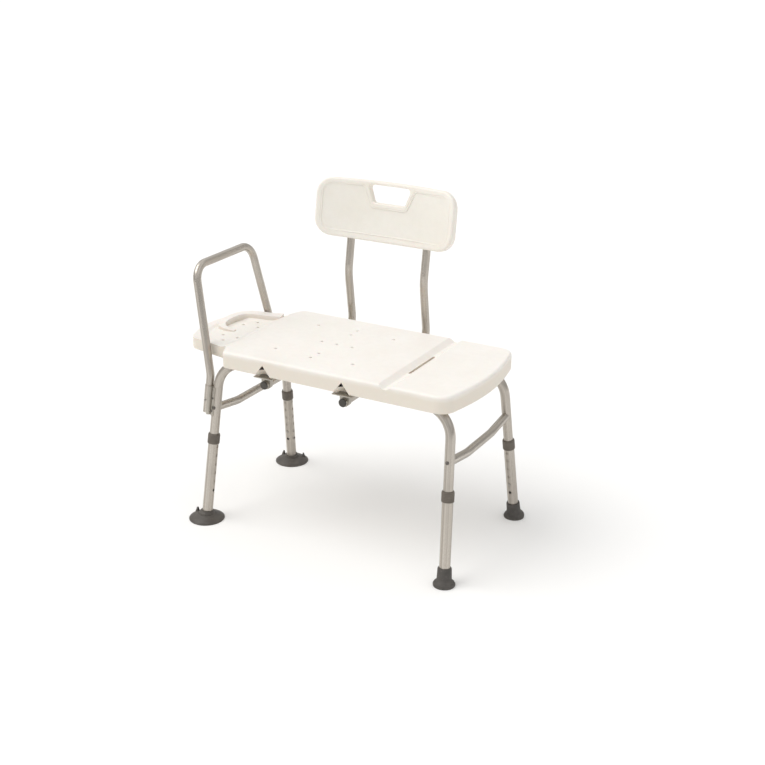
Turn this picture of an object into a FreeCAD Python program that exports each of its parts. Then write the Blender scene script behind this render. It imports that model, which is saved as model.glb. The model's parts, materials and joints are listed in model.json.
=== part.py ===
import FreeCAD, Part
import math
import os

# Bath transfer bench: a moulded seat on two aluminium U-frames, with height-adjustable
# legs, a removable backrest on two L-shaped tubes and an arm rail at the narrow end.
# Millimetres, +Z up, +X towards the wide end, -Y towards the sitter's feet.
# The origin is on the floor under the middle of the whole bench.

Vec = FreeCAD.Vector

# --- driving dimensions ---------------------------------------------------------------
# the four feet stand off-centre under the seat and backrest
legs_centre_x = 49.0
legs_centre_y = -11.0
foot_half_length = 369.0
foot_half_width = 217.0
splay_along = math.tan(math.radians(2.8))
splay_across = math.tan(math.radians(8.2))

frame_tube_r = 12.7         # 1 inch tube
leg_tube_r = 14.3           # 1 1/8 inch tube that slides over it
slim_tube_r = 11.1          # 7/8 inch tube: rail, posts and braces
tube_wall = 1.25
slide_gap = 0.08            # radial running clearance of a sliding tube

rail_z = 450.0              # centre height of the frame's level tubes
frame_bend_r = 76.0
frame_end_s = 98.0          # the frame tube ends this far up the leg line
hole_pitch = 25.4
lowest_hole_s = 86.0
hole_count = 6
button_hole = 1             # the button stands in the second hole from below
hole_r = 4.1
button_r = 3.9
button_proud = 2.2

leg_top_s = 246.0
collar_low_s = 221.0
collar_high_s = 249.5
tab_angles = {"front": (170.0, 128.0), "rear": (166.0, 40.0)}  # suction cups' pull tabs

brace_end_z = 320.0
brace_knee_y = 72.0

deck_z = 499.0
skirt_z = 453.0
seat_half_width = 200.0
seat_wall = 3.5
tray_edge_z = 485.5
tray_floor_z = 481.0
channel_x = 184.0
channel_depth = 11.0
channel_half_bottom = 5.0
channel_half_top = 20.0
drain_r = 4.0
slot_width = 8.0
slot_length = 142.0
seat_vent_x = 100.0         # small vent under the seat, left by the blow pin
seat_screw_x = (-250.0, 20.0, 258.0)
bracket_boss_offset = 21.0
bracket_y = 186.0

post_half_pitch = 119.5
post_centre_x = -60.0
post_level_z = 425.0
post_front_y = -192.0
post_rear_y = 269.6
post_bend_r = 60.0
post_kink_z = 621.0
post_depth = 18.3           # post's axis behind the middle of the backrest's front face
post_in_back = 92.0         # how far the post reaches up inside the backrest

back_width = 431.0
back_height = 170.5
back_lean = 9.4             # degrees
back_foot_y = 239.0
back_foot_z = 718.5
back_deep_low = 27.0
back_deep_top = 21.0
back_corner_r = 48.0
back_crown = 5.0
back_curve_r = 690.0
back_edge_r = 6.0
hand_hole_edge_r = 4.0
back_wall = 3.0
hand_hole_top = 134.0
hand_hole_bottom = 98.0
hand_hole_high = 158.0
hand_hole_low = 109.0

rail_low_s = 304.0
rail_out = 28.2             # from the leg's axis to the arm rail's axis
rail_kink_z = 404.0
rail_top_z = 693.6
rail_lean_out = 0.198
rail_close_in = 0.106
rail_corner_r = 46.0
socket_length = 76.0

SIDES = {"left": -1, "right": 1}
ENDS = {"front": -1, "rear": 1}


# --- helpers --------------------------------------------------------------------------
def leg_up(side, end):
    """Unit vector up the leg on this side (-1 left, 1 right) and end (-1 front, 1 rear)."""
    return Vec(-side * splay_along, -end * splay_across, 1).normalize()


def leg_point(side, end, s):
    """Point on the leg's axis, s measured up the axis from the floor."""
    foot = Vec(side * foot_half_length, end * foot_half_width, 0)
    return foot + leg_up(side, end) * s


def leg_point_at_z(side, end, z):
    return leg_point(side, end, z / leg_up(side, end).z)


def across(axis, towards):
    """The part of a direction that is square to the axis, as a unit vector."""
    return (towards - axis * towards.dot(axis)).normalize()


def on_axis(shape, start, axis):
    """A shape modelled along +Z from the origin, stood at start along axis."""
    turn = FreeCAD.Rotation(Vec(0, 0, 1), axis)
    return shape.transformed(FreeCAD.Placement(start, turn).toMatrix())


def rod(start, axis, length, radius):
    return Part.makeCylinder(radius, length, start, axis)


def pipe(start, axis, length, outer, inner):
    return rod(start, axis, length, outer).cut(rod(start - axis, axis, length + 2, inner))


def turned(profile):
    """Solid of revolution about +Z from (radius, height) points."""
    points = [Vec(r, 0, z) for r, z in profile]
    face = Part.Face(Part.makePolygon(points + points[:1]))
    return face.revolve(Vec(0, 0, 0), Vec(0, 0, 1), 360)


def bent_wire(points, radii, closed=False):
    """Straight runs through the points, with a tangent arc of each radius at each corner."""
    count = len(points)
    corners = range(count) if closed else range(1, count - 1)
    enter = dict(enumerate(points))
    leave = dict(enumerate(points))
    arcs = {}
    for i in corners:
        back = (points[i - 1] - points[i]).normalize()
        ahead = (points[(i + 1) % count] - points[i]).normalize()
        half = back.getAngle(ahead) / 2
        reach = radii[i] / math.tan(half)
        middle = (back + ahead).normalize()
        enter[i] = points[i] + back * reach
        leave[i] = points[i] + ahead * reach
        nearest = points[i] + middle * (radii[i] / math.sin(half) - radii[i])
        arcs[i] = Part.Arc(enter[i], nearest, leave[i]).toShape()
    edges = []
    for i in range(count if closed else count - 1):
        after = (i + 1) % count
        if i in arcs:
            edges.append(arcs[i])
        if leave[i].distanceToPoint(enter[after]) > 1e-6:
            edges.append(Part.LineSegment(leave[i], enter[after]).toShape())
    return Part.Wire(edges)


def swept(path, start, axis, radius):
    ring = Part.Wire(Part.makeCircle(radius, start, axis))
    return path.makePipeShell([ring], True, True)


def bent_tube(points, radii, outer, wall):
    """A hollow tube along straight runs and bends."""
    path = bent_wire(points, radii)
    axis = (points[1] - points[0]).normalize()
    skin = swept(path, points[0], axis, outer)
    return skin.cut(swept(path, points[0], axis, outer - wall))


def outline_face(points, radii, z=0.0):
    corners = [Vec(x, y, z) for x, y in points]
    return Part.Face(bent_wire(corners, radii, closed=True))


def prism(points, z, height):
    """An upright prism over (x, y) points."""
    corners = [Vec(x, y, z) for x, y in points]
    return Part.Face(Part.makePolygon(corners + corners[:1])).extrude(Vec(0, 0, height))


def fused(shapes):
    return shapes[0].multiFuse(shapes[1:]).removeSplitter()


# --- seat -----------------------------------------------------------------------------
def seat_outline():
    """Half of the plan, right end to left end, mirrored: (x, y, corner radius)."""
    half = [
        (394.5, 0.0, 640.0),
        (355.0, seat_half_width, 42.0),
        (-305.0, seat_half_width, 12.0),
        (-330.0, 146.0, 22.0),
        (-470.0, 117.0, 34.0),
        (-508.0, 0.0, 210.0),
    ]
    front = [(x, -y, r) for x, y, r in reversed(half[1:-1])]
    return half + front


def seat_block(inset):
    """The seat's outside at inset 0, or its inner cavity at inset seat_wall."""
    outline = seat_outline()
    face = outline_face([(x, y) for x, y, r in outline], [r for x, y, r in outline], skirt_z)
    if inset:
        face = Part.Face(face.OuterWire.makeOffset2D(-inset))
        face.translate(Vec(0, 0, inset))
    top = deck_z - inset
    block = face.extrude(Vec(0, 0, top - skirt_z - inset))
    top_edges = [e for e in block.Edges if e.BoundBox.ZMin > top - 0.01]
    block = block.makeFillet(8.0 - inset, top_edges)
    if not inset:
        low_edges = [e for e in block.Edges if e.BoundBox.ZMax < skirt_z + 0.01]
        block = block.makeFillet(2.5, low_edges)
    return block.cut(channel_cutter(inset)).cut(tray_cutter(inset))


def channel_cutter(inset):
    """The drip channel across the deck, which also takes the curtain's hem."""
    flare = inset * 1.4
    z_low = deck_z - channel_depth - inset
    profile = [
        Vec(channel_x - channel_half_bottom - flare, 0, z_low),
        Vec(channel_x + channel_half_bottom + flare, 0, z_low),
        Vec(channel_x + channel_half_top + flare, 0, deck_z - inset + 0.02),
        Vec(channel_x + channel_half_top + flare + 8, 0, deck_z - inset + 0.02),
        Vec(channel_x + channel_half_top + flare + 8, 0, deck_z + 5),
        Vec(channel_x - channel_half_top - flare - 8, 0, deck_z + 5),
        Vec(channel_x - channel_half_top - flare - 8, 0, deck_z - inset + 0.02),
        Vec(channel_x - channel_half_top - flare, 0, deck_z - inset + 0.02),
    ]
    radii = {0: 3.0, 1: 3.0, 2: 6.0, 3: 1.0, 4: 1.0, 5: 1.0, 6: 1.0, 7: 6.0}
    wire = bent_wire(profile, radii, closed=True)
    cutter = Part.Face(wire).extrude(Vec(0, 2 * seat_half_width + 20, 0))
    cutter.translate(Vec(0, -seat_half_width - 10, 0))
    return cutter


def tray_cutter(inset):
    """Lowers the narrow end: a level step, then a shallow dish inside it."""
    reach = 170.0
    step = [
        Vec(-540, -reach, deck_z + 5),
        Vec(-540, -reach, tray_edge_z - inset),
        Vec(-350 + inset, -reach, tray_edge_z - inset),
        Vec(-316 + inset, -reach, deck_z - inset + 0.02),
        Vec(-300 + inset, -reach, deck_z - inset + 0.02),
        Vec(-300 + inset, -reach, deck_z + 5),
    ]
    radii = {0: 1.0, 1: 1.0, 2: 24.0, 3: 7.0, 4: 1.0, 5: 1.0}
    wire = bent_wire(step, radii, closed=True)
    cutter = Part.Face(wire).extrude(Vec(0, 2 * reach, 0))
    dish_high = [(-340, 112), (-455, 88), (-484, 0), (-455, -88), (-340, -112)]
    dish_low = [(-352, 100), (-447, 78), (-470, 0), (-447, -78), (-352, -100)]
    rounding = [20, 26, 150, 26, 20]
    top = outline_face(dish_high, rounding, tray_edge_z - inset + 0.5).OuterWire
    low = outline_face(dish_low, [r * 0.8 for r in rounding], tray_floor_z - inset).OuterWire
    return cutter.fuse(Part.makeLoft([low, top], True, True))


def tray_lip():
    """The raised rim that keeps soap on the tray; it sinks away at its front hook."""
    stations = [
        # x, y on the rim's crest, crest height, half width
        (-400, -8, 483.5, 6.0),
        (-424, -12, 488.0, 8.0),
        (-446, -4, 492.0, 9.5),
        (-456, 22, 496.0, 11.0),
        (-456, 62, 497.5, 12.0),
        (-443, 96, 498.0, 13.0),
        (-412, 113, 498.5, 14.0),
        (-374, 119, 498.5, 14.0),
        (-334, 132, 498.5, 15.0),
    ]
    path = [Vec(x, y, 0) for x, y, z, w in stations]
    rings = []
    for i, (x, y, crest, half) in enumerate(stations):
        ahead = path[min(i + 1, len(path) - 1)] - path[max(i - 1, 0)]
        side = Vec(-ahead.y, ahead.x, 0).normalize()
        middle = Vec(x, y, 0)
        foot_z = tray_floor_z - 2.0
        corners = [
            middle - side * (half + 1.5) + Vec(0, 0, foot_z),
            middle + side * (half + 1.5) + Vec(0, 0, foot_z),
            middle + side * half + Vec(0, 0, crest),
            middle - side * half + Vec(0, 0, crest),
        ]
        rings.append(bent_wire(corners, {0: 0.6, 1: 0.6, 2: 2.0, 3: 2.0}, closed=True))
    return Part.makeLoft(rings, True, False)


def drain_holes():
    """(x, y, floor height) of every drain hole."""
    deck = [(-120, 0), (-73, 0), (-26, 0)]
    for x, y in [(-197, 108), (-80, 120), (-78, 83), (41, 109)]:
        deck += [(x, y), (x, -y)]
    tray = []
    for x, y in [(-411, 49), (-363, 50), (-386, 84)]:
        tray += [(x, y), (x, -y)]
    return [(x, y, deck_z) for x, y in deck] + [(x, y, tray_floor_z) for x, y in tray]


def post_x(side):
    return post_centre_x + side * post_half_pitch


def notch(side, grow):
    """The three-cornered relief in the front skirt over each post."""
    x = post_x(side)
    front = -seat_half_width - 1.0
    left = Vec(x - 26 - grow, front, skirt_z - 2)
    right = Vec(x + 26 + grow, front, skirt_z - 2)
    top = Vec(x, front, 484 + grow)
    deep = Vec(x, front + 28 + grow, skirt_z - 2)
    faces = [(left, right, top), (left, right, deep), (left, top, deep), (right, top, deep)]
    shell = Part.Shell([Part.Face(Part.makePolygon(list(f) + [f[0]])) for f in faces])
    solid = Part.Solid(shell)
    if solid.Volume < 0:
        solid.reverse()
    return solid


def level_y(end):
    return leg_point_at_z(-1, end, rail_z).y


def seat_boss_places():
    """(x, end) of the screws that hold the seat to the frame's level tubes."""
    return [(x, end) for x in seat_screw_x for end in ENDS.values()]


def bracket_boss_places():
    """(x, y) of the small bosses that the post brackets screw into."""
    places = []
    for side in SIDES.values():
        for end in ENDS.values():
            for offset in (-bracket_boss_offset, bracket_boss_offset):
                places.append((post_x(side) + offset, end * bracket_y))
    return places


def notch_window(side):
    """The opening into the hollow seat at the top of each notch."""
    x = post_x(side)
    front = -seat_half_width - 1.0
    corners = [Vec(x - 11.5, front, 468), Vec(x + 11.5, front, 468), Vec(x, front, 482)]
    return Part.Face(Part.makePolygon(corners + corners[:1])).extrude(Vec(0, 24, 0))


def slot_cutter(grow):
    """The through slot in the bottom of the channel."""
    half = slot_length / 2 - slot_width / 2
    radius = slot_width / 2 + grow
    slot = Part.makeBox(2 * radius, 2 * half, 80, Vec(channel_x - radius, -half, 430))
    for y in (-half, half):
        slot = slot.fuse(rod(Vec(channel_x, y, 430), Vec(0, 0, 1), 80, radius))
    return slot


def seat():
    """Hollow blow-moulded shell; walls run through it round each hole, screw and recess."""
    up = Vec(0, 0, 1)
    cavity = seat_block(seat_wall)
    for x, y, z in drain_holes():
        cavity = cavity.cut(rod(Vec(x, y, 440), up, 70, drain_r + 2.5))
    for x, end in seat_boss_places():
        cavity = cavity.cut(rod(Vec(x, level_y(end), 440), up, 48, 9.0))
    for x, y in bracket_boss_places():
        cavity = cavity.cut(rod(Vec(x, y, 440), up, 36, 5.5))
    cavity = cavity.cut(slot_cutter(3.0))
    for side in SIDES.values():
        cavity = cavity.cut(notch(side, 3.0))
    for end in ENDS.values():
        cavity = cavity.cut(level_tube_space(end, seat_wall))
    feet = [rod(Vec(x, y, 448.1), up, 8, 5.5) for x, y in bracket_boss_places()]
    whole = seat_block(0).multiFuse([tray_lip()] + feet).cut(cavity)
    holes = [slot_cutter(0.0)]
    for x, y, z in drain_holes():
        holes.append(rod(Vec(x, y, 440), up, 80, drain_r))
        holes.append(Part.makeCone(drain_r - 0.2, drain_r + 1.6, 1.8, Vec(x, y, z - 1.6)))
    for x, end in seat_boss_places():
        holes.append(rod(Vec(x, level_y(end), 440), up, 42, 2.6))
    for x, y in bracket_boss_places():
        holes.append(rod(Vec(x, y, 440), up, 26, 2.0))
    holes.append(rod(Vec(seat_vent_x, 0, 445), up, 20, 3.0))
    for side in SIDES.values():
        holes += [notch(side, 0.0), notch_window(side)]
    for hole in holes:
        whole = whole.cut(hole)
    for end in ENDS.values():
        whole = whole.cut(level_tube_space(end, 0.0))
    return max(whole.Solids, key=lambda s: s.Volume)


def level_tube_space(end, grow):
    """The groove under the seat that the frame tube lies in."""
    reach = 316.0 + grow
    start = Vec(-reach, level_y(end), rail_z)
    return rod(start, Vec(1, 0, 0), 2 * reach, frame_tube_r + 0.05 + grow)


# --- frame ----------------------------------------------------------------------------
def frame_points(end):
    low_left = leg_point(-1, end, frame_end_s)
    low_right = leg_point(1, end, frame_end_s)
    corner_left = leg_point_at_z(-1, end, rail_z)
    corner_right = leg_point_at_z(1, end, rail_z)
    return [low_left, corner_left, corner_right, low_right]


def button_axis(side, end):
    """Leg buttons face inwards, front legs to the rear and rear legs to the front."""
    return across(leg_up(side, end), Vec(0, -end, 0))


def button_s():
    return lowest_hole_s + button_hole * hole_pitch


def rail_button_point(end):
    return rail_low_point(end) + leg_up(-1, end) * 28.0


def frame_tube(end):
    radii = {1: frame_bend_r, 2: frame_bend_r}
    tube = bent_tube(frame_points(end), radii, frame_tube_r, tube_wall)
    holes = []
    for side in SIDES.values():
        start = leg_point(side, end, button_s())
        holes.append(rod(start, button_axis(side, end), 20, hole_r))
        brace_axis = brace_bolt_axis(end)
        holes.append(rod(brace_end(side, end) - brace_axis * 20, brace_axis, 60, 2.6))
    for x, boss_end in seat_boss_places():
        if boss_end == end:
            holes.append(rod(Vec(x, level_y(end), rail_z - 20), Vec(0, 0, 1), 40, 2.8))
    for rivet in saddle_rivet_places(end):
        holes.append(rod(rivet - saddle_rivet_axis(end) * 2, saddle_rivet_axis(end), 20, 2.1))
    return tube.cut(Part.makeCompound(holes))


# --- braces ---------------------------------------------------------------------------
def brace_end(side, end):
    return leg_point_at_z(side, end, brace_end_z)


def brace_bolt_axis(end):
    """The bolts run through the leg and along the brace's end, square to the leg's lean."""
    return Vec(0, -end, -splay_across).normalize()


def brace(side):
    points = []
    for end in (-1, 1):
        start = brace_end(side, end)
        axis = brace_bolt_axis(end)
        knee = start + axis * ((abs(start.y) - brace_knee_y) / abs(axis.y))
        points += [start, knee] if end < 0 else [knee, start]
    tube = bent_tube(points, {1: 120.0, 2: 120.0}, slim_tube_r, tube_wall)
    for end in ENDS.values():
        tube = tube.cut(rod(leg_point(side, end, 200), leg_up(side, end), 220, frame_tube_r))
    return max(tube.Solids, key=lambda s: s.Volume)


def brace_plug(side, end):
    """Plug inside the brace's end that the bolt screws into."""
    axis = brace_bolt_axis(end)
    start = brace_end(side, end) + axis * (frame_tube_r + 2.0)
    return pipe(start, axis, 20, slim_tube_r - tube_wall - 0.05, 2.6)


def brace_bolt(side, end):
    """A round-headed bolt through the leg into the brace's plug."""
    axis = brace_bolt_axis(end)
    head = turned([(0, -3.0), (2.6, -2.7), (4.6, -1.4), (5.2, 0), (2.5, 0), (2.5, 38), (0, 38)])
    return on_axis(head, brace_end(side, end) - axis * (frame_tube_r + 0.1), axis)


# --- legs -----------------------------------------------------------------------------
def leg_tube(side, end):
    axis = leg_up(side, end)
    low = 6.0
    tube = pipe(leg_point(side, end, low), axis, leg_top_s - low, leg_tube_r, frame_tube_r + slide_gap)
    holes = []
    for k in range(hole_count):
        centre = leg_point(side, end, lowest_hole_s + k * hole_pitch)
        holes.append(rod(centre, button_axis(side, end), 20, hole_r))
        holes.append(rod(centre, across(axis, Vec(-side, 0, 0)), 20, hole_r))
    return tube.cut(Part.makeCompound(holes))


def collar(side, end):
    """Grey plastic sleeve that closes the top of the sliding tube."""
    outer = 16.6
    height = collar_high_s - collar_low_s
    seat_depth = leg_top_s - collar_low_s
    profile = [
        (leg_tube_r + 0.02, 0),
        (outer - 0.6, 0),
        (outer, 1.0),
        (outer, height - 5.0),
        (outer - 1.2, height - 1.2),
        (outer - 2.4, height),
        (frame_tube_r + slide_gap, height),
        (frame_tube_r + slide_gap, seat_depth + 0.02),
        (leg_tube_r + 0.02, seat_depth + 0.02),
    ]
    return on_axis(turned(profile), leg_point(side, end, collar_low_s), leg_up(side, end))


def above_floor(shape):
    return shape.common(Part.makeBox(1200, 800, 300, Vec(-600, -400, 0)))


def rubber_tip(side, end):
    """Flared rubber ferrule, square to the leg and cut level on the floor."""
    profile = [
        (0, -6), (26.5, -6), (28.6, 1.5), (28.6, 5.5), (26.0, 10.0), (21.5, 13.5),
        (19.4, 17.0), (18.3, 44.0), (17.2, 47.0), (leg_tube_r + 0.02, 47.0),
        (leg_tube_r + 0.02, 6.0), (0, 6.0),
    ]
    return above_floor(on_axis(turned(profile), leg_point(side, end, 0), leg_up(side, end)))


def pull_tab(angle):
    """Small pointed tab on the cup, for peeling it off the floor."""
    body = prism([(33.0, -5.0), (42.0, -4.0), (42.0, 4.0), (33.0, 5.0)], 6.0, 16.5)
    slope = Part.makeBox(20, 20, 40, Vec(0, -10, -10))
    slope.rotate(Vec(0, 0, 0), Vec(0, 1, 0), -18)
    slope.translate(Vec(42.0, 0, 6))
    body = body.cut(slope)
    for lean in (-1, 1):
        cheek = Part.makeBox(30, 20, 40, Vec(25, 0 if lean > 0 else -20, -10))
        cheek.rotate(Vec(0, 0, 0), Vec(1, 0, 0), 13 * lean)
        cheek.translate(Vec(0, 4.6 * lean, 8))
        body = body.cut(cheek)
    body.rotate(Vec(0, 0, 0), Vec(0, 0, 1), angle)
    return body


def suction_foot(side, end, tab_angles):
    """Wide suction cup with a boot for the tube and two pull tabs."""
    foot = leg_point(side, end, 0)
    cup = turned([
        (0, 4.5), (22.0, 4.5), (43.5, 0.0), (48.4, 0.0), (49.0, 0.8), (49.0, 2.4), (48.0, 3.4),
        (46.4, 3.6), (45.6, 4.4), (44.6, 5.6), (39.0, 9.0), (30.0, 13.0), (25.0, 15.6), (0, 17.0),
    ])
    boot = on_axis(turned([(0, 6), (23.5, 12), (22.0, 17), (19.0, 21.5), (18.0, 24), (0, 24)]),
                   Vec(0, 0, 0), leg_up(side, end))
    whole = fused([cup, boot] + [pull_tab(angle) for angle in tab_angles])
    whole.translate(foot)
    bore = rod(leg_point(side, end, 6.0), leg_up(side, end), 60, leg_tube_r + 0.02)
    return above_floor(whole.cut(bore))


# --- snap buttons ---------------------------------------------------------------------
def snap_button(centre, axis, tube_outer, tube_inner):
    """Domed pin with a shoulder inside the tube wall."""
    top = tube_outer + button_proud
    shoulder = button_shoulder(tube_inner)
    profile = [
        (0, shoulder - 1.6), (5.0, shoulder - 1.6), (5.0, shoulder),
        (button_r, shoulder), (button_r, top - 1.0), (button_r - 1.2, top), (0, top),
    ]
    return on_axis(turned(profile), centre, axis)


def button_shoulder(tube_inner):
    """Height of the shoulder's top face: its rim just clears the round bore."""
    return math.sqrt(tube_inner ** 2 - 5.0 ** 2) - 0.2


def snap_spring(centre, axis, along, inner_r):
    """Folded strip of spring steel: one leg under the button, one on the far wall."""
    high = button_shoulder(inner_r) - 2.2
    side = axis.cross(along)
    low = -inner_r + 1.3
    bend = (high - low) / 2
    points = [
        Vec(-7, 0, high), Vec(26, 0, high), Vec(26 + bend, 0, (high + low) / 2),
        Vec(26, 0, low), Vec(-7, 0, low),
    ]
    fold = Part.Arc(points[1], points[2], points[3]).toShape()
    outer = Part.Wire([Part.makeLine(points[0], points[1]), fold, Part.makeLine(points[3], points[4])])
    strip = outer.extrude(Vec(0, 6, 0))
    strip.translate(Vec(0, -3, 0))
    solid = strip.makeOffsetShape(-0.5, 0.01, fill=True)
    frame = FreeCAD.Matrix(
        along.x, side.x, axis.x, centre.x,
        along.y, side.y, axis.y, centre.y,
        along.z, side.z, axis.z, centre.z,
        0, 0, 0, 1,
    )
    return solid.transformGeometry(frame)


# --- backrest -------------------------------------------------------------------------
def lean_point(height):
    """Point on the backrest's front face, this far up it."""
    angle = math.radians(back_lean)
    return Vec(0, back_foot_y + height * math.sin(angle), back_foot_z + height * math.cos(angle))


def post_points(side):
    x = post_x(side)
    low = lean_point(0.0)
    top = lean_point(post_in_back)
    kink_y = low.y + post_depth - (low.z - post_kink_z) * math.tan(math.radians(back_lean))
    return [
        Vec(x, post_front_y, post_level_z),
        Vec(x, post_rear_y, post_level_z),
        Vec(x, kink_y, post_kink_z),
        Vec(x, top.y + post_depth, top.z),
    ]


def post_button_point(side):
    return Vec(post_x(side), 176.0, post_level_z)


def back_post(side):
    radii = {1: post_bend_r, 2: 150.0}
    tube = bent_tube(post_points(side), radii, slim_tube_r, tube_wall)
    tube = tube.cut(rod(post_button_point(side), Vec(0, 0, -1), 20, hole_r))
    for screw in back_screw_places(side):
        tube = tube.cut(rod(screw, back_screw_axis(side), 30, 2.4))
    return tube


def post_top_up(side):
    points = post_points(side)
    return (points[3] - points[2]).normalize()


def back_screw_places(side):
    """Where the screws cross the post's axis inside the backrest."""
    return [post_points(side)[3] - post_top_up(side) * drop for drop in (14.0, 68.0)]


def back_screw_axis(side):
    return across(post_top_up(side), Vec(0, 1, 0))


def back_outline(side_in, low_in, top_in):
    """Front view of the backrest as a face in the XZ plane, drawn in by three margins."""
    half = back_width / 2 - side_in
    high = back_height - top_in
    r = back_corner_r - side_in
    points = [
        Vec(-half, 0, low_in + back_crown), Vec(0, 0, low_in), Vec(half, 0, low_in + back_crown),
        Vec(half, 0, high - back_crown), Vec(0, 0, high), Vec(-half, 0, high - back_crown),
    ]
    radii = {0: r, 1: 5000.0, 2: r, 3: r, 4: 5000.0, 5: r}
    return Part.Face(bent_wire(points, radii, closed=True))


def in_front_of_back(depth):
    """Everything in front of the curved surface this far behind the front face."""
    centre = Vec(0, -back_curve_r, -200)
    return Part.makeCylinder(back_curve_r + depth, 600, centre)


def back_slab(front_offset, rear_offset):
    """Curved slab between the front and rear faces, each moved inwards by its offset."""
    rear_y = back_deep_low - rear_offset
    rear = in_front_of_back(rear_y)
    taper = math.degrees(math.atan((back_deep_low - back_deep_top) / back_height))
    rear.rotate(Vec(0, rear_y, 0), Vec(1, 0, 0), taper)
    near = Part.makeBox(600, 200, 300, Vec(-300, -100, -50))
    return rear.common(near).cut(in_front_of_back(front_offset))


def trapezoid_face(top, bottom, high, low, r):
    points = [Vec(-top, 0, high), Vec(top, 0, high), Vec(bottom, 0, low), Vec(-bottom, 0, low)]
    return Part.Face(bent_wire(points, {k: r for k in range(4)}, closed=True))


def hand_hole_face(grow):
    """The hand hole's outline, wider at its top."""
    return trapezoid_face(
        hand_hole_top / 2 + grow * 1.2, hand_hole_bottom / 2 + grow * 0.9,
        hand_hole_high + grow, hand_hole_low - grow, 10.0 + grow * 0.7,
    )


def panel_cutter(depth, grow):
    """Sinks the middle of the front face and leaves a raised border and hole surround."""
    sunk = in_front_of_back(depth).common(Part.makeBox(600, 100, 300, Vec(-300, -80, -50)))
    sunk = sunk.common(through(back_outline(16 + grow, 16 + grow, 12 + grow)))
    surround = trapezoid_face(98 + grow, 52 + grow, 200.0, 98.0 - grow, 16.0)
    return sunk.cut(through(surround))


def stood(shape):
    """Backrest shapes are drawn upright at the origin and then leaned into place."""
    shape.rotate(Vec(0, 0, 0), Vec(1, 0, 0), -back_lean)
    shape.translate(Vec(post_centre_x, back_foot_y, back_foot_z))
    return shape


def through(face):
    body = face.extrude(Vec(0, 400, 0))
    body.translate(Vec(0, -200, 0))
    return body


def is_depth_edge(edge):
    """True for the edges that run from the front face to the rear face."""
    start, finish = edge.Vertexes[0].Point, edge.Vertexes[-1].Point
    return abs(finish.y - start.y) > 0.6 * edge.Length


def post_sleeve(side):
    """Round the post inside the backrest, with a rounded blind end above it."""
    up = post_top_up(side)
    start = post_points(side)[3] - up * (post_in_back - 4.0)
    sleeve = rod(start, up, post_in_back + 8.0, slim_tube_r + 3.0)
    circles = [e for e in sleeve.Edges if isinstance(e.Curve, Part.Circle)]
    return sleeve.makeFillet(9.0, [max(circles, key=lambda e: e.BoundBox.ZMax)])


def in_hand_hole(edge):
    box = edge.BoundBox
    return abs(box.XMin + box.XMax) / 2 + box.XLength / 2 < 75 and hand_hole_low - 1 < box.ZMin


def backrest():
    """Hollow blow-moulded shell with a sunken panel, a hand hole and two post sleeves."""
    solid = back_slab(0, 0).common(through(back_outline(0, 0, 0)))
    solid = solid.makeFillet(back_edge_r, [e for e in solid.Edges if not is_depth_edge(e)])
    solid = solid.cut(through(hand_hole_face(0)))
    rim = [e for e in solid.Edges if in_hand_hole(e) and not is_depth_edge(e)]
    rounded = solid.makeFillet(hand_hole_edge_r, rim)
    w = back_wall
    hollow = back_slab(w, w).common(through(back_outline(w, w, w))).cut(through(hand_hole_face(w)))
    shell = rounded.cut(panel_cutter(0.9, 0.0)).cut(panel_cutter(1.8, 5.0)).cut(hollow)
    shell = stood(shell)
    for side in SIDES.values():
        shell = shell.fuse(post_sleeve(side))
    for side in SIDES.values():
        up = post_top_up(side)
        shell = shell.cut(rod(post_points(side)[3] - up * 200, up, 200.3, slim_tube_r + 0.02))
        for screw in back_screw_places(side):
            shell = shell.cut(rod(screw, back_screw_axis(side), 60, 2.4))
        drain = Vec(post_centre_x + side * 60, back_foot_y + 15, back_foot_z - 10)
        shell = shell.cut(rod(drain, Vec(0, 0, 1), 20, 3.0))
    return max(shell.Solids, key=lambda s: s.Volume)


def back_screw(side, place):
    """Round-headed screw from behind, through the sleeve into the post."""
    head = turned([(0, -14), (2.2, -14), (2.2, 0), (5.0, 0), (4.6, 1.4), (2.6, 2.5), (0, 2.7)])
    axis = back_screw_axis(side)
    return on_axis(head, place + axis * (slim_tube_r + 3.05), axis)


def post_plug(side):
    """Dark plug in the post's open front end."""
    core = slim_tube_r - tube_wall - 0.05
    profile = [(0, -4.0), (9.3, -4.0), (slim_tube_r, -2.6), (slim_tube_r, 0), (core, 0), (core, 14), (0, 14)]
    return on_axis(turned(profile), Vec(post_x(side), post_front_y, post_level_z), Vec(0, 1, 0))


# --- post brackets --------------------------------------------------------------------
def post_bracket(side, end):
    """Pressed plate under the seat with a hanging loop that carries the post."""
    bore = slim_tube_r + slide_gap
    thick = 2.2
    x, y = post_x(side), end * bracket_y
    plate = Part.makeBox(56, 28, 2.5, Vec(x - 28, y - 14, 445.5))
    loop_y = y + end * -8.0 - 7.0
    ring = rod(Vec(x, loop_y, post_level_z), Vec(0, 1, 0), 14, bore + thick)
    cheek_corner = Vec(x - bore - thick, loop_y, post_level_z)
    cheeks = Part.makeBox(2 * (bore + thick), 14, 446.0 - post_level_z, cheek_corner)
    body = fused([plate, ring.fuse(cheeks)])
    space = rod(Vec(x, loop_y - 20, post_level_z), Vec(0, 1, 0), 60, bore)
    body = body.cut(space)
    for offset in (-bracket_boss_offset, bracket_boss_offset):
        body = body.cut(rod(Vec(x + offset, y, 440), Vec(0, 0, 1), 12, 2.3))
    if end > 0:
        body = body.cut(rod(Vec(x, post_button_point(side).y, post_level_z), Vec(0, 0, -1), 20, hole_r))
    return body


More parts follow.
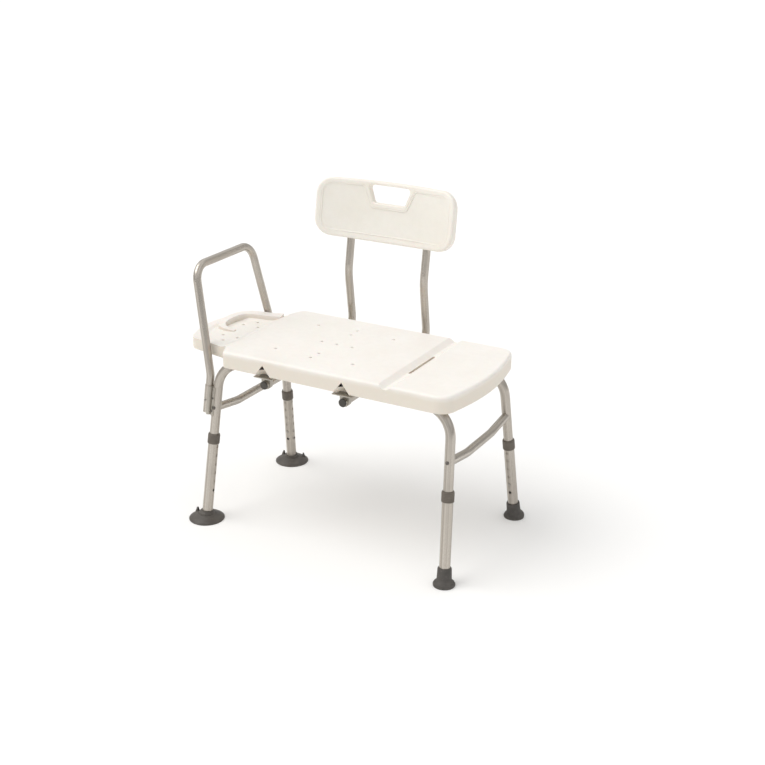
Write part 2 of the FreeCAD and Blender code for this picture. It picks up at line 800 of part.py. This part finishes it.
def bracket_screw(side, end, offset):
    head = turned([(0, -2.6), (2.4, -2.3), (4.0, 0), (1.95, 0), (1.95, 14), (0, 14)])
    return on_axis(head, Vec(post_x(side) + offset, end * bracket_y, 445.4), Vec(0, 0, 1))


def seat_screw(x, end):
    head = turned([(0, -3.4), (3.0, -3.0), (5.2, -0.6), (5.2, 0), (2.5, 0), (2.5, 37), (0, 37)])
    return on_axis(head, Vec(x, level_y(end), rail_z - frame_tube_r - 0.1), Vec(0, 0, 1))


# --- arm rail -------------------------------------------------------------------------
def rail_axis_point(end, s):
    """Beside the left leg at the same height along it, outboard."""
    return leg_point(-1, end, s) + across(leg_up(-1, end), Vec(-1, 0, 0)) * rail_out


def rail_low_point(end):
    return rail_axis_point(end, rail_low_s + 8.0)


def rail_points():
    points = []
    for end in (-1, 1):
        low = rail_low_point(end)
        axis = leg_up(-1, end)
        kink = low + axis * ((rail_kink_z - low.z) / axis.z)
        rise = rail_top_z - kink.z
        top = Vec(kink.x - rail_lean_out * rise, kink.y - end * rail_close_in * rise, rail_top_z)
        run = [low, kink, top]
        points += run if end < 0 else run[::-1]
    return points


def arm_rail():
    radii = {1: 70.0, 2: rail_corner_r, 3: rail_corner_r, 4: 70.0}
    tube = bent_tube(rail_points(), radii, slim_tube_r, tube_wall)
    for end in ENDS.values():
        tube = tube.cut(rod(rail_button_point(end), rail_button_axis(end), 20, hole_r))
    return tube


def rail_button_axis(end):
    return across(leg_up(-1, end), Vec(-0.25, end, 0))


def rail_socket(end):
    """Short tube that the arm rail drops into."""
    start = rail_axis_point(end, rail_low_s)
    axis = leg_up(-1, end)
    tube = pipe(start, axis, socket_length, frame_tube_r, slim_tube_r + slide_gap)
    return tube.cut(rod(rail_button_point(end), rail_button_axis(end), 20, hole_r))


def saddle_mid(end):
    return across(leg_up(-1, end), Vec(-1, 0, 0))


def rail_saddle(end):
    """Pressed strap that joins the socket to the leg: a half shell on each tube."""
    axis = leg_up(-1, end)
    thick = 2.0
    low = rail_low_s - 4.0
    length = socket_length + 4.0
    leg_start = leg_point(-1, end, low)
    socket_start = rail_axis_point(end, low)
    out = saddle_mid(end)
    hug_leg = rod(leg_start, axis, length, frame_tube_r + thick)
    hug_socket = rod(socket_start, axis, length, frame_tube_r + thick)
    face = axis.cross(out)
    block = Part.makeBox(rail_out - 5.0, 2 * (frame_tube_r + thick), length)
    matrix = FreeCAD.Matrix(
        out.x, face.x, axis.x, 0, out.y, face.y, axis.y, 0, out.z, face.z, axis.z, 0, 0, 0, 0, 1
    )
    block = block.transformGeometry(matrix)
    block.translate(leg_start - face * (frame_tube_r + thick))
    body = hug_leg.fuse(hug_socket).common(block)
    web = Part.makeBox(rail_out - 10, 6.0, length)
    web = web.transformGeometry(matrix)
    web.translate(leg_start + out * 5.0 - face * 3.0)
    body = body.fuse(web)
    body = body.cut(rod(leg_start - axis, axis, length + 2, frame_tube_r + 0.02))
    body = body.cut(rod(socket_start - axis, axis, length + 2, frame_tube_r + 0.02))
    body = body.cut(rod(brace_end(-1, end), brace_bolt_axis(end), 40, slim_tube_r + 1.0))
    body = body.cut(rod(brace_end(-1, end), brace_bolt_axis(end) * -1, 40, 6.5))
    for place in saddle_rivet_places(end):
        body = body.cut(rod(place - saddle_rivet_axis(end) * 4, saddle_rivet_axis(end), 30, 2.1))
    return max(body.Solids, key=lambda s: s.Volume)


def saddle_rivet_axis(end):
    """Rivets go in from outside, square to the leg."""
    out = saddle_mid(end)
    away = across(leg_up(-1, end), Vec(0, end, 0))
    return (out * 0.45 + away * 0.9).normalize()


def saddle_rivet_places(end):
    return [leg_point(-1, end, rail_low_s + k) for k in (10.0, 46.0)]


def saddle_rivet(end, place):
    axis = saddle_rivet_axis(end)
    outer = frame_tube_r + 2.2
    shape = turned([
        (0, frame_tube_r - 4.5), (2.9, frame_tube_r - 4.5), (2.9, frame_tube_r - tube_wall - 0.5),
        (2.05, frame_tube_r - tube_wall - 0.5), (2.05, outer), (4.0, outer), (3.2, outer + 1.3),
        (0, outer + 1.8),
    ])
    return on_axis(shape, place, axis)


# --- build ----------------------------------------------------------------------------
nodes = {
    "seat": seat(),
    "backrest": backrest(),
    "arm_rail": arm_rail(),
    "front_frame_tube": frame_tube(-1),
    "rear_frame_tube": frame_tube(1),
}

for side_name, side in SIDES.items():
    nodes["brace_" + side_name] = brace(side)
    nodes["back_post_" + side_name] = back_post(side)
    nodes["back_post_plug_" + side_name] = post_plug(side)
    nodes["back_button_" + side_name] = snap_button(
        post_button_point(side), Vec(0, 0, -1), slim_tube_r, slim_tube_r - tube_wall
    )
    nodes["back_button_spring_" + side_name] = snap_spring(
        post_button_point(side), Vec(0, 0, -1), Vec(0, -1, 0), slim_tube_r - tube_wall
    )
    for end_name, end in ENDS.items():
        corner = end_name + "_" + side_name
        axis = leg_up(side, end)
        nodes["leg_tube_" + corner] = leg_tube(side, end)
        nodes["leg_collar_" + corner] = collar(side, end)
        nodes["leg_button_" + corner] = snap_button(
            leg_point(side, end, button_s()), button_axis(side, end),
            leg_tube_r, frame_tube_r - tube_wall,
        )
        nodes["leg_button_spring_" + corner] = snap_spring(
            leg_point(side, end, button_s()), button_axis(side, end), axis, frame_tube_r - tube_wall
        )
        nodes["post_bracket_" + corner] = post_bracket(side, end)
        if side < 0:
            nodes["suction_foot_" + end_name] = suction_foot(side, end, tab_angles[end_name])
        else:
            nodes["rubber_tip_" + end_name] = rubber_tip(side, end)

for end_name, end in ENDS.items():
    nodes["rail_socket_" + end_name] = rail_socket(end)
    nodes["rail_saddle_" + end_name] = rail_saddle(end)
    nodes["rail_button_" + end_name] = snap_button(
        rail_button_point(end), rail_button_axis(end), frame_tube_r, slim_tube_r - tube_wall
    )
    nodes["rail_button_spring_" + end_name] = snap_spring(
        rail_button_point(end), rail_button_axis(end), leg_up(-1, end), slim_tube_r - tube_wall
    )

corners = [(side, end) for side in SIDES.values() for end in ENDS.values()]
nodes["brace_bolts"] = [brace_bolt(side, end) for side, end in corners]
nodes["brace_end_plugs"] = [brace_plug(side, end) for side, end in corners]
nodes["bracket_screws"] = [
    bracket_screw(side, end, offset)
    for side, end in corners
    for offset in (-bracket_boss_offset, bracket_boss_offset)
]
nodes["seat_screws"] = [seat_screw(x, end) for x, end in seat_boss_places()]
nodes["backrest_screws"] = [
    back_screw(side, place) for side in SIDES.values() for place in back_screw_places(side)
]
nodes["saddle_rivets"] = [
    saddle_rivet(end, place) for end in ENDS.values() for place in saddle_rivet_places(end)
]

os.makedirs("parts", exist_ok=True)
for name, shape in nodes.items():
    if isinstance(shape, list):
        shape = Part.makeCompound(shape)
    shape.translate(Vec(legs_centre_x, legs_centre_y, 0))
    shape.exportStep("parts/" + name + ".step")
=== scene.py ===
import json
import math

import bmesh
import bpy
from mathutils import Matrix, Vector

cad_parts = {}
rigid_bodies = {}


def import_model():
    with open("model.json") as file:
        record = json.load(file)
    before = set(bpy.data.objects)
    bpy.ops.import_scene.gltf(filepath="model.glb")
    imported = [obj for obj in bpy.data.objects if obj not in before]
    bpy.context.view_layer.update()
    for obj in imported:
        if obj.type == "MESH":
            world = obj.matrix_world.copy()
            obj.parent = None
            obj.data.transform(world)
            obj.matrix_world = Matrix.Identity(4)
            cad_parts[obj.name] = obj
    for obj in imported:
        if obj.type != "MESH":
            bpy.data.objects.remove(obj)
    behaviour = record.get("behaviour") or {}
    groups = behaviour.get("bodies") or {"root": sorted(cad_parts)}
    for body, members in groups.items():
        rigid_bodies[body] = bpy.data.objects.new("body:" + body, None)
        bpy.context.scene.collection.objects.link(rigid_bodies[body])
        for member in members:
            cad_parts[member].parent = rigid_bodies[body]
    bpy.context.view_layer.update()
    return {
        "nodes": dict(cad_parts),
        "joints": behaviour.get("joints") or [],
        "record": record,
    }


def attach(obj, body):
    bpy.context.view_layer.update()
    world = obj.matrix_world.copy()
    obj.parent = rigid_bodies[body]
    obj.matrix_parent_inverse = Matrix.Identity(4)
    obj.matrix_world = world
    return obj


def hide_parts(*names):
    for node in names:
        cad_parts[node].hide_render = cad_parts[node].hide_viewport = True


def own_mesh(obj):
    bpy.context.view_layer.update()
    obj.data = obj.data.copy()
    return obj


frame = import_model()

scene = bpy.context.scene
nodes = frame["nodes"]

# --- camera ---------------------------------------------------------------------------
AZIMUTH = math.radians(29.20)
ELEVATION = math.radians(21.61)
ROLL = math.radians(0.286)
CAMERA_PLACE = (1.6936, -2.8338, 1.697)
LENS = 61.774


def add_camera():
    data = bpy.data.cameras.new("camera")
    data.lens = LENS
    data.sensor_width = 36.0
    data.clip_end = 100.0
    camera = bpy.data.objects.new("camera", data)
    scene.collection.objects.link(camera)
    back = Vector((
        math.sin(AZIMUTH) * math.cos(ELEVATION),
        -math.cos(AZIMUTH) * math.cos(ELEVATION),
        math.sin(ELEVATION),
    ))
    level = Vector((math.cos(AZIMUTH), math.sin(AZIMUTH), 0.0))
    rise = back.cross(level)
    right = level * math.cos(ROLL) + rise * math.sin(ROLL)
    up = rise * math.cos(ROLL) - level * math.sin(ROLL)
    turn = Matrix((right, up, back)).transposed().to_4x4()
    camera.matrix_world = Matrix.Translation(CAMERA_PLACE) @ turn
    scene.camera = camera


# --- lights and floor -----------------------------------------------------------------
KEY_TOWARDS = (-0.62, -0.40, 1.0)
KEY_STRENGTH = 1.20
KEY_SPREAD = math.radians(45.0)
SKY_HORIZON = 0.36
SKY_ZENITH = 1.02
FLOOR_HALF_WIDTH = 30.0
FLOOR_COLOUR = (0.95, 0.95, 0.948, 1.0)


def add_key_light():
    """One soft, slightly warm light that falls evenly on everything."""
    data = bpy.data.lights.new("key", "SUN")
    data.energy = KEY_STRENGTH
    data.angle = KEY_SPREAD
    data.color = (1.0, 0.985, 0.96)
    light = bpy.data.objects.new("key", data)
    scene.collection.objects.link(light)
    light.matrix_world = Vector(KEY_TOWARDS).to_track_quat("Z", "Y").to_matrix().to_4x4()


def add_sky():
    """A soft overhead glow that falls off towards the horizon; the camera sees plain white."""
    world = bpy.data.worlds.new("studio")
    world.use_nodes = True
    tree = world.node_tree
    sky = tree.nodes["Background"]
    sky.inputs["Color"].default_value = (1.0, 0.997, 0.99, 1.0)
    place = tree.nodes.new("ShaderNodeTexCoord")
    split = tree.nodes.new("ShaderNodeSeparateXYZ")
    fall = tree.nodes.new("ShaderNodeMapRange")
    fall.inputs["From Min"].default_value = -0.05
    fall.inputs["From Max"].default_value = 0.9
    fall.inputs["To Min"].default_value = SKY_HORIZON
    fall.inputs["To Max"].default_value = SKY_ZENITH
    path = tree.nodes.new("ShaderNodeLightPath")
    seen = tree.nodes.new("ShaderNodeMapRange")
    tree.links.new(path.outputs["Is Camera Ray"], seen.inputs["Value"])
    tree.links.new(fall.outputs["Result"], seen.inputs["To Min"])
    seen.inputs["To Max"].default_value = 1.0
    tree.links.new(place.outputs["Generated"], split.inputs["Vector"])
    tree.links.new(split.outputs["Z"], fall.inputs["Value"])
    tree.links.new(seen.outputs["Result"], sky.inputs["Strength"])
    scene.world = world


def add_studio():
    add_sky()
    scene.view_settings.view_transform = "Standard"
    scene.view_settings.look = "None"
    add_key_light()
    mesh = bpy.data.meshes.new("floor")
    shape = bmesh.new()
    bmesh.ops.create_grid(shape, x_segments=1, y_segments=1, size=FLOOR_HALF_WIDTH)
    shape.to_mesh(mesh)
    shape.free()
    floor = bpy.data.objects.new("floor", mesh)
    scene.collection.objects.link(floor)
    material = bpy.data.materials.new("floor")
    material.use_nodes = True
    shader = material.node_tree.nodes["Principled BSDF"]
    shader.inputs["Base Color"].default_value = FLOOR_COLOUR
    shader.inputs["Roughness"].default_value = 0.9
    shader.inputs["Specular IOR Level"].default_value = 0.1
    mesh.materials.append(material)


# --- materials ------------------------------------------------------------------------
# sockets of the Mix node when it mixes colours
MIX_A, MIX_B, MIX_RESULT = 6, 7, 2
# painted shade: the seat's skirt is darkened over this band of heights, to this painted shade tone
SKIRT_FOOT, SKIRT_HEAD = 0.484, 0.497
SKIRT_PAINTED_SHADE = (0.79, 0.725, 0.635)


class Surface:
    """A node material being built; each helper adds one node and returns its output."""

    def __init__(self, name):
        self.material = bpy.data.materials.new(name)
        self.material.use_nodes = True
        self.tree = self.material.node_tree
        self.shader = self.tree.nodes["Principled BSDF"]
        self.place = self.add("ShaderNodeTexCoord").outputs["Object"]
        self.normal = self.add("ShaderNodeNewGeometry").outputs["Normal"]

    def add(self, kind, **settings):
        node = self.tree.nodes.new(kind)
        for key, value in settings.items():
            setattr(node, key, value)
        return node

    def link(self, source, target):
        if isinstance(source, (int, float, tuple)):
            target.default_value = source
        else:
            self.tree.links.new(source, target)

    def scaled(self, vector, factors):
        node = self.add("ShaderNodeMapping")
        self.link(vector, node.inputs["Vector"])
        node.inputs["Scale"].default_value = factors
        return node.outputs["Vector"]

    def part_of(self, vector, axis):
        node = self.add("ShaderNodeSeparateXYZ")
        self.link(vector, node.inputs["Vector"])
        return node.outputs[axis]

    def noise(self, vector, scale, detail=3.0, rough=0.55):
        node = self.add("ShaderNodeTexNoise")
        self.link(vector, node.inputs["Vector"])
        node.inputs["Scale"].default_value = scale
        node.inputs["Detail"].default_value = detail
        node.inputs["Roughness"].default_value = rough
        return node.outputs["Fac"]

    def cells(self, vector, scale):
        node = self.add("ShaderNodeTexVoronoi")
        self.link(vector, node.inputs["Vector"])
        node.inputs["Scale"].default_value = scale
        return node.outputs["Distance"]

    def range(self, value, low, high, to_low=0.0, to_high=1.0):
        node = self.add("ShaderNodeMapRange")
        self.link(value, node.inputs["Value"])
        node.inputs["From Min"].default_value = low
        node.inputs["From Max"].default_value = high
        node.inputs["To Min"].default_value = to_low
        node.inputs["To Max"].default_value = to_high
        return node.outputs["Result"]

    def maths(self, operation, a, b):
        node = self.add("ShaderNodeMath", operation=operation)
        self.link(a, node.inputs[0])
        self.link(b, node.inputs[1])
        return node.outputs[0]

    def mix(self, factor, a, b):
        node = self.add("ShaderNodeMix", data_type="RGBA")
        self.link(factor, node.inputs["Factor"])
        self.link(a, node.inputs[MIX_A])
        self.link(b, node.inputs[MIX_B])
        return node.outputs[MIX_RESULT]

    def bump(self, height, strength, distance, under=None):
        node = self.add("ShaderNodeBump")
        self.link(height, node.inputs["Height"])
        node.inputs["Strength"].default_value = strength
        node.inputs["Distance"].default_value = distance
        if under is not None:
            self.link(under, node.inputs["Normal"])
        return node.outputs["Normal"]

    def finish(self, color, roughness, normal, **constants):
        self.link(color, self.shader.inputs["Base Color"])
        self.link(roughness, self.shader.inputs["Roughness"])
        self.link(normal, self.shader.inputs["Normal"])
        for key, value in constants.items():
            self.shader.inputs[key.replace("_", " ")].default_value = value
        return self.material


def rgb(r, g, b):
    return (r, g, b, 1.0)


def moulded_plastic(name, pale, warm, has_painted_skirt_shade=False):
    """Blow-moulded polyethylene: orange-peel skin, faint clouds and fine scuffs."""
    s = Surface(name)
    cloud = s.noise(s.place, 7.0, 4.0)
    mottle = s.noise(s.place, 60.0, 3.0)
    peel = s.noise(s.place, 420.0, 2.0)
    grain = s.cells(s.place, 900.0)
    scratch = s.noise(s.scaled(s.place, (6.0, 95.0, 6.0)), 9.0, 6.0, 0.7)
    scuff = s.range(scratch, 0.60, 0.74)
    tone = s.mix(s.range(cloud, 0.35, 0.65), rgb(*warm), rgb(*pale))
    tone = s.mix(s.range(mottle, 0.4, 0.7, 0.0, 0.22), tone, rgb(*[c * 0.93 for c in warm]))
    # painted shade: the upright faces of the seat's skirt are darkened and warmed towards their
    # foot
    if has_painted_skirt_shade:
        height = s.maths("ADD", s.part_of(s.place, "Z"), s.range(cloud, 0.3, 0.7, -0.003, 0.003))
        upright = s.range(s.part_of(s.normal, "Z"), 0.75, 0.25)
        painted_skirt_shade = s.maths("MULTIPLY", s.range(height, SKIRT_HEAD, SKIRT_FOOT), upright)
        tone = s.mix(painted_skirt_shade, tone, rgb(*SKIRT_PAINTED_SHADE))
    tone = s.mix(s.range(scuff, 0.0, 1.0, 0.0, 0.12), tone, rgb(0.95, 0.94, 0.92))
    rough = s.range(cloud, 0.3, 0.7, 0.36, 0.47)
    rough = s.maths("ADD", rough, s.range(scuff, 0.0, 1.0, 0.0, 0.16))
    rough = s.maths("ADD", rough, s.range(grain, 0.0, 1.0, -0.03, 0.04))
    normal = s.bump(s.maths("ADD", grain, peel), 0.20, 0.0006)
    normal = s.bump(mottle, 0.12, 0.002, normal)
    normal = s.bump(scratch, 0.05, 0.0008, normal)
    return s.finish(
        tone, rough, normal, Subsurface_Weight=0.06, Subsurface_Scale=0.01, Specular_IOR_Level=0.42
    )


def aluminium(name, low, high, rough_low, rough_high):
    """Drawn, anodised metal with die lines that follow the way the surface faces; its broad
    lighter and darker bands, also set by the way the surface faces, are painted reflection.
    """
    s = Surface(name)
    painted_reflection_band = s.noise(s.normal, 2.4, 2.0)
    line = s.noise(s.normal, 30.0, 5.0, 0.75)
    fine = s.noise(s.place, 1100.0, 2.0)
    smudge = s.noise(s.place, 9.0, 4.0)
    pits = s.range(s.cells(s.place, 260.0), 0.03, 0.09)
    # painted reflection: the tone swings between the low and high colours as the surface turns
    tone = s.mix(s.range(painted_reflection_band, 0.36, 0.64), rgb(*low), rgb(*high))
    tone = s.mix(s.range(line, 0.42, 0.70, 0.0, 0.45), tone, rgb(*[c * 0.74 for c in low]))
    tone = s.mix(s.range(smudge, 0.45, 0.7, 0.0, 0.25), tone, rgb(*[c * 0.84 for c in low]))
    tone = s.mix(s.range(pits, 0.0, 1.0, 0.30, 0.0), tone, rgb(*[c * 0.60 for c in low]))
    rough = s.range(smudge, 0.3, 0.7, rough_low, rough_high)
    rough = s.maths("ADD", rough, s.range(line, 0.3, 0.7, -0.05, 0.07))
    normal = s.bump(line, 0.06, 0.002)
    normal = s.bump(fine, 0.05, 0.0005, normal)
    return s.finish(tone, rough, normal, Metallic=0.8, Anisotropic=0.3)


def dark_plastic(name, low, high, rough=0.55, grain_scale=1300.0, rings=None):
    """Moulded rubber or plastic; rings is the wave scale of fine grooves round the piece."""
    s = Surface(name)
    grain = s.cells(s.place, grain_scale)
    cloud = s.noise(s.place, 40.0, 4.0)
    dust = s.range(s.noise(s.place, 160.0, 5.0, 0.7), 0.58, 0.78)
    tone = s.mix(s.range(cloud, 0.35, 0.65), rgb(*low), rgb(*high))
    tone = s.mix(s.range(dust, 0.0, 1.0, 0.0, 0.35), tone, rgb(0.26, 0.24, 0.21))
    roughness = s.range(cloud, 0.3, 0.7, rough - 0.06, rough + 0.08)
    normal = s.bump(grain, 0.18, 0.0005)
    if rings:
        wave = s.add("ShaderNodeTexWave")
        wave.bands_direction = "Z"
        wave.inputs["Scale"].default_value = rings
        s.link(s.place, wave.inputs["Vector"])
        groove = wave.outputs["Fac"]
        # painted shade: the groove bottoms are darkened towards half the low tone
        tone = s.mix(s.range(groove, 0.0, 0.35, 0.45, 0.0), tone, rgb(*[c * 0.5 for c in low]))
        normal = s.bump(groove, 0.5, 0.0006, normal)
    return s.finish(tone, roughness, normal, Specular_IOR_Level=0.4)


def steel(name, low, high):
    s = Surface(name)
    spots = s.cells(s.place, 700.0)
    cloud = s.noise(s.place, 220.0, 4.0)
    tone = s.mix(s.range(cloud, 0.35, 0.65), rgb(*low), rgb(*high))
    rough = s.range(spots, 0.0, 1.0, 0.26, 0.42)
    normal = s.bump(cloud, 0.08, 0.0004)
    return s.finish(tone, rough, normal, Metallic=1.0)


def finish_nodes():
    made = {
        "moulded_plastic": moulded_plastic(
            "moulded_plastic", (0.91, 0.86, 0.795), (0.88, 0.825, 0.75)
        ),
        "seat_plastic_painted_shade": moulded_plastic(
            "seat_plastic_painted_shade", (0.90, 0.862, 0.82), (0.872, 0.828, 0.776),
            has_painted_skirt_shade=True,
        ),
        "tube_aluminium": aluminium(
            "tube_aluminium", (0.40, 0.362, 0.318), (0.63, 0.585, 0.525), 0.22, 0.34
        ),
        "bracket_aluminium": aluminium(
            "bracket_aluminium", (0.38, 0.35, 0.305), (0.58, 0.55, 0.49), 0.30, 0.42
        ),
        "collar_plastic": dark_plastic(
            "collar_plastic", (0.125, 0.107, 0.088), (0.162, 0.139, 0.116), rings=80.0
        ),
        "tip_rubber": dark_plastic(
            "tip_rubber", (0.070, 0.064, 0.058), (0.098, 0.090, 0.082), 0.62, 900.0
        ),
        "suction_rubber": dark_plastic(
            "suction_rubber", (0.078, 0.070, 0.062), (0.105, 0.095, 0.084), 0.48, 1500.0
        ),
        "plug_plastic": dark_plastic("plug_plastic", (0.050, 0.046, 0.041), (0.075, 0.068, 0.060)),
        "button_steel": steel("button_steel", (0.30, 0.28, 0.26), (0.45, 0.43, 0.40)),
        "spring_steel": steel("spring_steel", (0.36, 0.36, 0.36), (0.48, 0.48, 0.48)),
        "fastener_steel": steel("fastener_steel", (0.11, 0.10, 0.09), (0.19, 0.175, 0.16)),
    }
    for part in frame["record"]["subparts"]:
        node = nodes[part["node"]]
        node.data.materials.clear()
        node.data.materials.append(made[part["material_slot"]])
    # the seat takes the copy that carries the painted skirt shade
    nodes["seat"].data.materials[0] = made["seat_plastic_painted_shade"]
    return made


def add_springs(material):
    """Copies of the folded springs in spring steel, each put in place of the CAD spring on its
    button joint's parent body.
    """
    for joint in frame["joints"]:
        if "button_press" not in joint["name"]:
            continue
        node = joint["name"].replace("press", "spring")
        mesh = nodes[node].data.copy()
        mesh.materials.clear()
        mesh.materials.append(material)
        piece = bpy.data.objects.new(node + "_flexing", mesh)
        scene.collection.objects.link(piece)
        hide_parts(node)
        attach(piece, joint["parent"])
        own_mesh(piece)


# --- backrest bead --------------------------------------------------------------------
# the backrest's own drawing plane, as the CAD has it: its foot, its lean, its curve's radius
# and its outline; then the bead that stands on the ledge inside its border
BACK_FOOT = Vector((-0.011, 0.228, 0.7185))
BACK_LEAN = math.radians(9.4)
BACK_CURVE = 0.690
BACK_HALF_WIDTH = 0.2155
BACK_HEIGHT = 0.1705
LEDGE_DEPTH = 0.0009
BEAD_HALF_WIDTH = 0.0021
BEAD_RISE = 0.0010
BEAD_SIDES = 12
BEAD_STEP = 0.008


def rounded_loop(corners, steps=10):
    """Points round a closed outline of (x, z, radius) corners, evenly along each arc."""
    points = []
    count = len(corners)
    for i, (x, z, radius) in enumerate(corners):
        here = Vector((x, z))
        before = (Vector(corners[i - 1][:2]) - here).normalized()
        after = (Vector(corners[(i + 1) % count][:2]) - here).normalized()
        half = before.angle(after) / 2
        middle = here + (before + after).normalized() * (radius / math.sin(half))
        start = here + before * (radius / math.tan(half)) - middle
        finish = here + after * (radius / math.tan(half)) - middle
        sweep = start.angle_signed(finish)
        for k in range(steps + 1):
            angle = -sweep * k / steps
            turned = Vector((
                start.x * math.cos(angle) - start.y * math.sin(angle),
                start.x * math.sin(angle) + start.y * math.cos(angle),
            ))
            points.append(middle + turned)
    return points


def divided(loop, longest):
    """The loop with its long straight runs cut up, so that it can follow a curved face."""
    out = []
    for i, point in enumerate(loop):
        ahead = loop[(i + 1) % len(loop)]
        pieces = max(1, math.ceil((ahead - point).length / longest))
        out += [point.lerp(ahead, k / pieces) for k in range(pieces)]
    return out


def on_back(x, z, out):
    """A place on the backrest's ledge, lifted out of it towards the sitter."""
    level = math.sqrt(BACK_CURVE ** 2 - x ** 2)
    reach = BACK_CURVE + LEDGE_DEPTH - out
    local = Vector((x / BACK_CURVE * reach, level / BACK_CURVE * reach - BACK_CURVE, z))
    return BACK_FOOT + Matrix.Rotation(-BACK_LEAN, 3, "X") @ local


def add_bead(material):
    """The moulded bead inside the backrest's border, dipping under the hand hole."""
    side, foot, top = BACK_HALF_WIDTH - 0.0185, 0.0210, BACK_HEIGHT - 0.0160
    outline = [
        (-side, foot, 0.0295), (-side, top, 0.0295),
        (-0.0800, top, 0.0150), (-0.0545, 0.0955, 0.0160),
        (0.0545, 0.0955, 0.0160), (0.0800, top, 0.0150),
        (side, top, 0.0295), (side, foot, 0.0295),
    ]
    loop = divided(rounded_loop(outline), BEAD_STEP)
    shape = bmesh.new()
    rings = []
    for i, point in enumerate(loop):
        along = (loop[(i + 1) % len(loop)] - loop[i - 1]).normalized()
        across = Vector((-along.y, along.x))
        ring = []
        for k in range(BEAD_SIDES):
            angle = 2 * math.pi * k / BEAD_SIDES
            place = point + across * (math.cos(angle) * BEAD_HALF_WIDTH)
            ring.append(shape.verts.new(on_back(place.x, place.y, math.sin(angle) * BEAD_RISE)))
        rings.append(ring)
    for i, ring in enumerate(rings):
        after = rings[(i + 1) % len(rings)]
        for k in range(BEAD_SIDES):
            j = (k + 1) % BEAD_SIDES
            shape.faces.new((ring[k], ring[j], after[j], after[k]))
    bmesh.ops.recalc_face_normals(shape, faces=shape.faces)
    mesh = bpy.data.meshes.new("backrest_bead")
    shape.to_mesh(mesh)
    shape.free()
    for face in mesh.polygons:
        face.use_smooth = True
    mesh.materials.append(material)
    bead = bpy.data.objects.new("backrest_bead", mesh)
    scene.collection.objects.link(bead)
    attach(bead, "backrest")


add_camera()
add_studio()
materials = finish_nodes()
add_bead(materials["moulded_plastic"])
add_springs(materials["spring_steel"])
